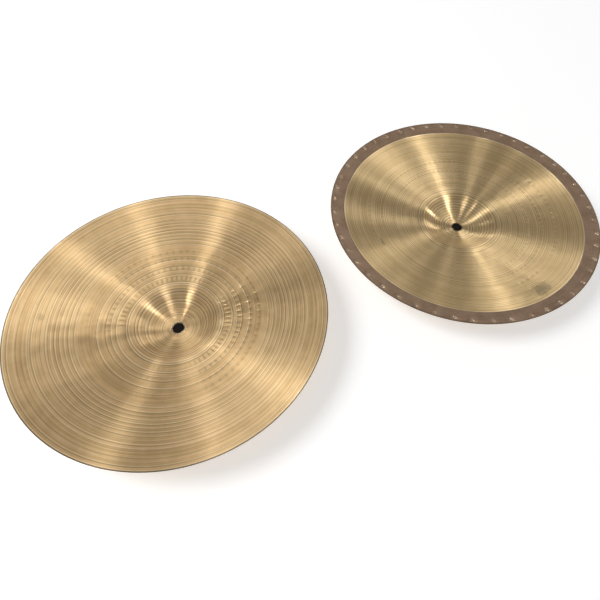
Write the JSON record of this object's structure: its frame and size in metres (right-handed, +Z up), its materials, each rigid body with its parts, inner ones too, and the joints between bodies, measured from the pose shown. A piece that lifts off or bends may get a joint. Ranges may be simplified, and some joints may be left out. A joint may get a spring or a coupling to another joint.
{
  "type": "pair of cymbals",
  "caption": "Pair of turned bronze cymbals lying bell down: a thin one lathed to its edge and a heavier one with an unlathed, hammered rim band.",
  "frame": {"origin": "on the plane that both bells rest on, half-way between the two centre holes", "axes": "+X from the plain-edged cymbal's centre hole to the hammered-edged one's, +Z up out of the hollow sides, +Y completes a right-handed set"},
  "size_m": [0.7526, 0.3556, 0.043],
  "materials": {
    "lathed_bronze": "cast tin bronze, finely lathed in concentric grooves, unlacquered",
    "banded_bronze": "cast tin bronze, very finely lathed, with a matt brown unlathed band at the rim"
  },
  "bodies": {
    "hammered_cymbal": {"hammered_edge_cymbal": "banded_bronze"},
    "plain_cymbal": {"plain_edge_cymbal": "lathed_bronze"}
  },
  "joints": [
    {"name": "plain_edge_lift", "type": "slide", "parent": "hammered_cymbal", "child": "plain_cymbal", "axis": [0, 0, 1], "range_m": [0, 0.15]}
  ]
}
